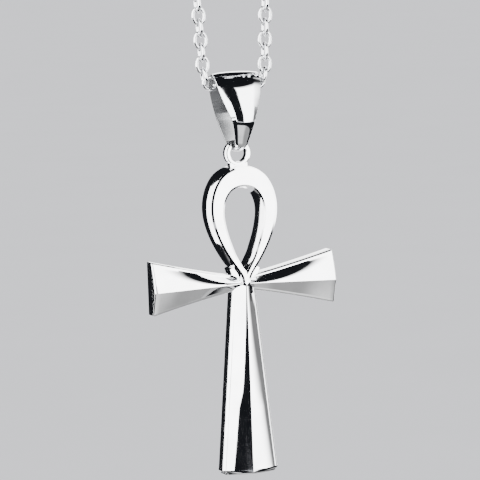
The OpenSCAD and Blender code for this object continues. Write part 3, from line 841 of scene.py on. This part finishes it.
class PENDANT_OT_clasp(bpy.types.Operator):
    """Makes the plain lobster clasp"""
    bl_idname = "pendant.clasp"
    bl_label = "Clasp"

    def execute(self, context):
        s, finish = in_mm(context.scene.pendant_clasp), context.scene.pendant_finish
        hook_x, tail_x = -(s.length - s.hook_w) / 2, (s.length - s.tail_w) / 2
        side = pi / 2 - atan((s.hook_w - s.tail_w) / 2 / (tail_x - hook_x))
        outline = []
        for x, r, first, last, steps in (
                (hook_x, s.hook_w / 2, side, 2 * pi - side, 24), (tail_x, s.tail_w / 2, -side, side, 16)):
            for k in range(steps + 1):
                a = mix(first, last, k / steps)
                outline.append((x + r * cos(a), r * sin(a)))
        steel = polished_steel("Polished clasp", finish.plain, finish.roughness * 1.5, finish.wear)
        bm = clasp_body(s, outline, hook_x, tail_x)
        piece("clasp_body", bm, steel, "chain", ["clasp"], edge=CLASP_EDGE, angle=40)
        return {"FINISHED"}


def clasp_body(s, outline, hook_x, tail_x):
    """The clasp's outline with its two holes, filled between them and given its thickness."""
    bm = bmesh.new()
    loops = [outline] + [
        [(x + r * cos(2 * pi * k / n), r * sin(2 * pi * k / n)) for k in range(n)]
        for x, r, n in ((hook_x, s.hook_hole, 32), (tail_x, s.tail_hole, 24))
    ]
    edges = []
    for loop in loops:
        verts = [bm.verts.new((x, -s.thick / 2, z)) for x, z in loop]
        edges += [bm.edges.new((a, b)) for a, b in zip(verts, verts[1:] + verts[:1])]
    bmesh.ops.triangle_fill(bm, use_beauty=True, use_dissolve=False, edges=edges)
    out = bmesh.ops.extrude_face_region(bm, geom=bm.faces[:], use_keep_orig=True)["geom"]
    moved = [v for v in out if isinstance(v, bmesh.types.BMVert)]
    bmesh.ops.translate(bm, vec=(0, s.thick, 0), verts=moved)
    bmesh.ops.dissolve_limit(bm, angle_limit=radians(2), verts=bm.verts, edges=bm.edges)
    return bm


def card_paint(name, colour, strength, low_fade, high_fade):
    """A glowing material that fades in from a card's low edges and out to its high ones."""
    paint = bpy.data.materials.new(name)
    paint.use_nodes = True
    nodes, links = paint.node_tree.nodes, paint.node_tree.links
    nodes.clear()
    out, glow = nodes.new("ShaderNodeOutputMaterial"), nodes.new("ShaderNodeEmission")
    clear, both = nodes.new("ShaderNodeBsdfTransparent"), nodes.new("ShaderNodeMixShader")
    glow.inputs["Color"].default_value = (*colour, 1)
    glow.inputs["Strength"].default_value = strength
    links.new(clear.outputs["BSDF"], both.inputs[1])
    links.new(glow.outputs["Emission"], both.inputs[2])
    links.new(both.outputs["Shader"], out.inputs["Surface"])
    place, parts = nodes.new("ShaderNodeUVMap"), nodes.new("ShaderNodeSeparateXYZ")
    links.new(place.outputs["UV"], parts.inputs["Vector"])
    shown = nodes.new("ShaderNodeValue").outputs["Value"]
    shown.default_value = 1
    for axis, near, far in zip("XY", low_fade, high_fade):
        for low, high in ((0, near), (1, 1 - far)):
            if low != high:
                edge = nodes.new("ShaderNodeMapRange")
                edge.interpolation_type = "SMOOTHSTEP"
                edge.inputs["From Min"].default_value = low
                edge.inputs["From Max"].default_value = high
                links.new(parts.outputs[axis], edge.inputs["Value"])
                shown = worked_out(nodes, links, "MULTIPLY", shown, edge.outputs["Result"])
    links.new(shown, both.inputs["Fac"])
    return paint


def facing_card(name, azimuth, elevation, distance, colour, strength, low_fade=(0, 0), high_fade=None):
    """A card that only shows in the steel: from one azimuth and elevation to another, in degrees, seen from
    the stage's middle. It fades at its edges over these shares of its width and height."""

    def at(az, el):
        a, e = radians(az), radians(el)
        return STAGE_MIDDLE + distance * Vector((sin(a) * cos(e), -cos(a) * cos(e), sin(e)))

    bm = bmesh.new()
    bmesh.ops.create_grid(bm, x_segments=12, y_segments=12, size=1)
    for v in bm.verts:
        v.co = at(mix(*azimuth, (v.co.x + 1) / 2), mix(*elevation, (v.co.y + 1) / 2))
    layer = bm.loops.layers.uv.new("UVMap")
    for face in bm.faces:
        for loop in face.loops:
            step = loop.vert.co - STAGE_MIDDLE
            az, el = degrees(atan2(step.x, -step.y)), degrees(asin(step.z / step.length))
            # The azimuth is counted from the card's first edge, so that it goes on past half a turn.
            turned = (az - azimuth[0] + 1) % 360 - 1
            loop[layer].uv = (turned / (azimuth[1] - azimuth[0]),
                              (el - elevation[0]) / (elevation[1] - elevation[0]))
    mesh = bpy.data.meshes.new(name)
    bm.to_mesh(mesh)
    bm.free()
    mesh.materials.append(card_paint(name, colour, strength, low_fade, high_fade or low_fade))
    made = bpy.data.objects.new(name, mesh)
    bpy.context.scene.collection.objects.link(made)
    made.visible_camera = made.visible_diffuse = made.visible_shadow = False
    made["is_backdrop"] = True


def add_floor(colour):
    """The pale floor below the pendant, with a light grain."""
    bm = bmesh.new()
    bmesh.ops.create_grid(bm, x_segments=1, y_segments=1, size=FLOOR_HALF)
    bmesh.ops.translate(bm, vec=(0, 0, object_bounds()[0].z - FLOOR_DROP), verts=bm.verts)
    mesh = bpy.data.meshes.new("floor")
    bm.to_mesh(mesh)
    bm.free()
    floor = bpy.data.objects.new("floor", mesh)
    bpy.context.scene.collection.objects.link(floor)
    paper, nodes, links, shader, place = principled("Pale floor")
    patches = spread(nodes, links, noise(nodes, links, place, FLOOR_TINT_SPOTS), 0, 1)
    rough = spread(nodes, links, noise(nodes, links, place, FLOOR_GRAIN_SPOTS), *FLOOR_ROUGH)
    tint = blended(nodes, links, colour, [c * 0.985 for c in colour], patches)
    links.new(tint, shader.inputs["Base Color"])
    links.new(rough, shader.inputs["Roughness"])
    mesh.materials.append(paper)
    floor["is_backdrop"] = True


def add_world(light):
    """The soft light that comes from all round."""
    world = bpy.data.worlds.new("Soft set")
    bpy.context.scene.world = world
    world.use_nodes = True
    background = world.node_tree.nodes["Background"]
    background.inputs["Color"].default_value = (0.95, 0.96, 1, 1)
    background.inputs["Strength"].default_value = 1.35 * light


def add_lamp(power):
    """The one lamp, which doesn't show in the steel."""
    data = bpy.data.lights.new("Key", "AREA")
    data.shape, data.energy = "RECTANGLE", power
    data.size, data.size_y = KEY_SIZE
    made = bpy.data.objects.new("Key", data)
    bpy.context.scene.collection.objects.link(made)
    made.location = KEY_PLACE
    made.rotation_euler = (STAGE_MIDDLE - Vector(KEY_PLACE)).to_track_quat("-Z", "Y").to_euler()
    made.visible_glossy = False


def add_camera():
    """The camera, which looks at the pendant's front from its left and a little above."""
    view = Vector((-sin(VIEW_TURN) * cos(VIEW_RISE), cos(VIEW_TURN) * cos(VIEW_RISE), -sin(VIEW_RISE)))
    level = Vector((cos(VIEW_TURN), sin(VIEW_TURN), 0))
    upright = level.cross(view)
    right = level * cos(VIEW_ROLL) + upright * sin(VIEW_ROLL)
    up = upright * cos(VIEW_ROLL) - level * sin(VIEW_ROLL)
    centre = (CROSS_FRONT + VIEW_SHIFT[0] * right + VIEW_SHIFT[1] * up) * MM
    data = bpy.data.cameras.new("Camera")
    data.sensor_width, data.lens = 36, VIEW_LENS
    data.clip_start, data.clip_end = 0.02, 60
    camera = bpy.data.objects.new("Camera", data)
    bpy.context.scene.collection.objects.link(camera)
    facing = Matrix((right, up, -view)).transposed().to_4x4()
    camera.matrix_world = Matrix.Translation(centre - VIEW_DISTANCE * view) @ facing
    return camera


class PENDANT_OT_stage(bpy.types.Operator):
    """Makes the floor, the lights and the camera"""
    bl_idname = "pendant.stage"
    bl_label = "Stage"

    def execute(self, context):
        look = context.scene.pendant_stage
        add_floor(look.floor)
        add_world(look.light)
        for name, azimuth, elevation, distance, strength, *fades in STAGE_CARDS:
            if strength:
                facing_card(name, azimuth, elevation, distance, (1, 1, 1), strength * look.light, *fades)
            else:
                facing_card(name, azimuth, elevation, distance, FLAG_GREY, 1)
        add_lamp(KEY_POWER * look.light)
        context.scene.camera = add_camera()
        return {"FINISHED"}


class PENDANT_PT_panel(bpy.types.Panel):
    """Lists the pendant's pieces"""
    bl_label = "Ankh Pendant"
    bl_idname = "PENDANT_PT_panel"
    bl_space_type = "VIEW_3D"
    bl_region_type = "UI"
    bl_category = "Pendant"

    def draw(self, context):
        column = self.layout.column()
        for operator in OPERATORS:
            column.operator(operator.bl_idname)


GROUPS = {
    "pendant_ankh": AnkhSizes, "pendant_bail": BailSizes, "pendant_chain": ChainSizes,
    "pendant_clasp": ClaspSizes, "pendant_finish": SteelFinish, "pendant_stage": StageLook,
}
OPERATORS = (PENDANT_OT_ankh, PENDANT_OT_bail, PENDANT_OT_chain, PENDANT_OT_clasp, PENDANT_OT_stage)


def register():
    for made in (*GROUPS.values(), *OPERATORS, PENDANT_PT_panel):
        bpy.utils.register_class(made)
    for name, group in GROUPS.items():
        setattr(bpy.types.Scene, name, PointerProperty(type=group))


def unregister():
    for name in GROUPS:
        delattr(bpy.types.Scene, name)
    for made in reversed((*GROUPS.values(), *OPERATORS, PENDANT_PT_panel)):
        bpy.utils.unregister_class(made)


def main():
    register()
    bpy.ops.pendant.ankh()
    bpy.ops.pendant.bail()
    bpy.ops.pendant.chain()
    bpy.ops.pendant.clasp()
    bpy.ops.pendant.stage()


if __name__ == "__main__":
    main()
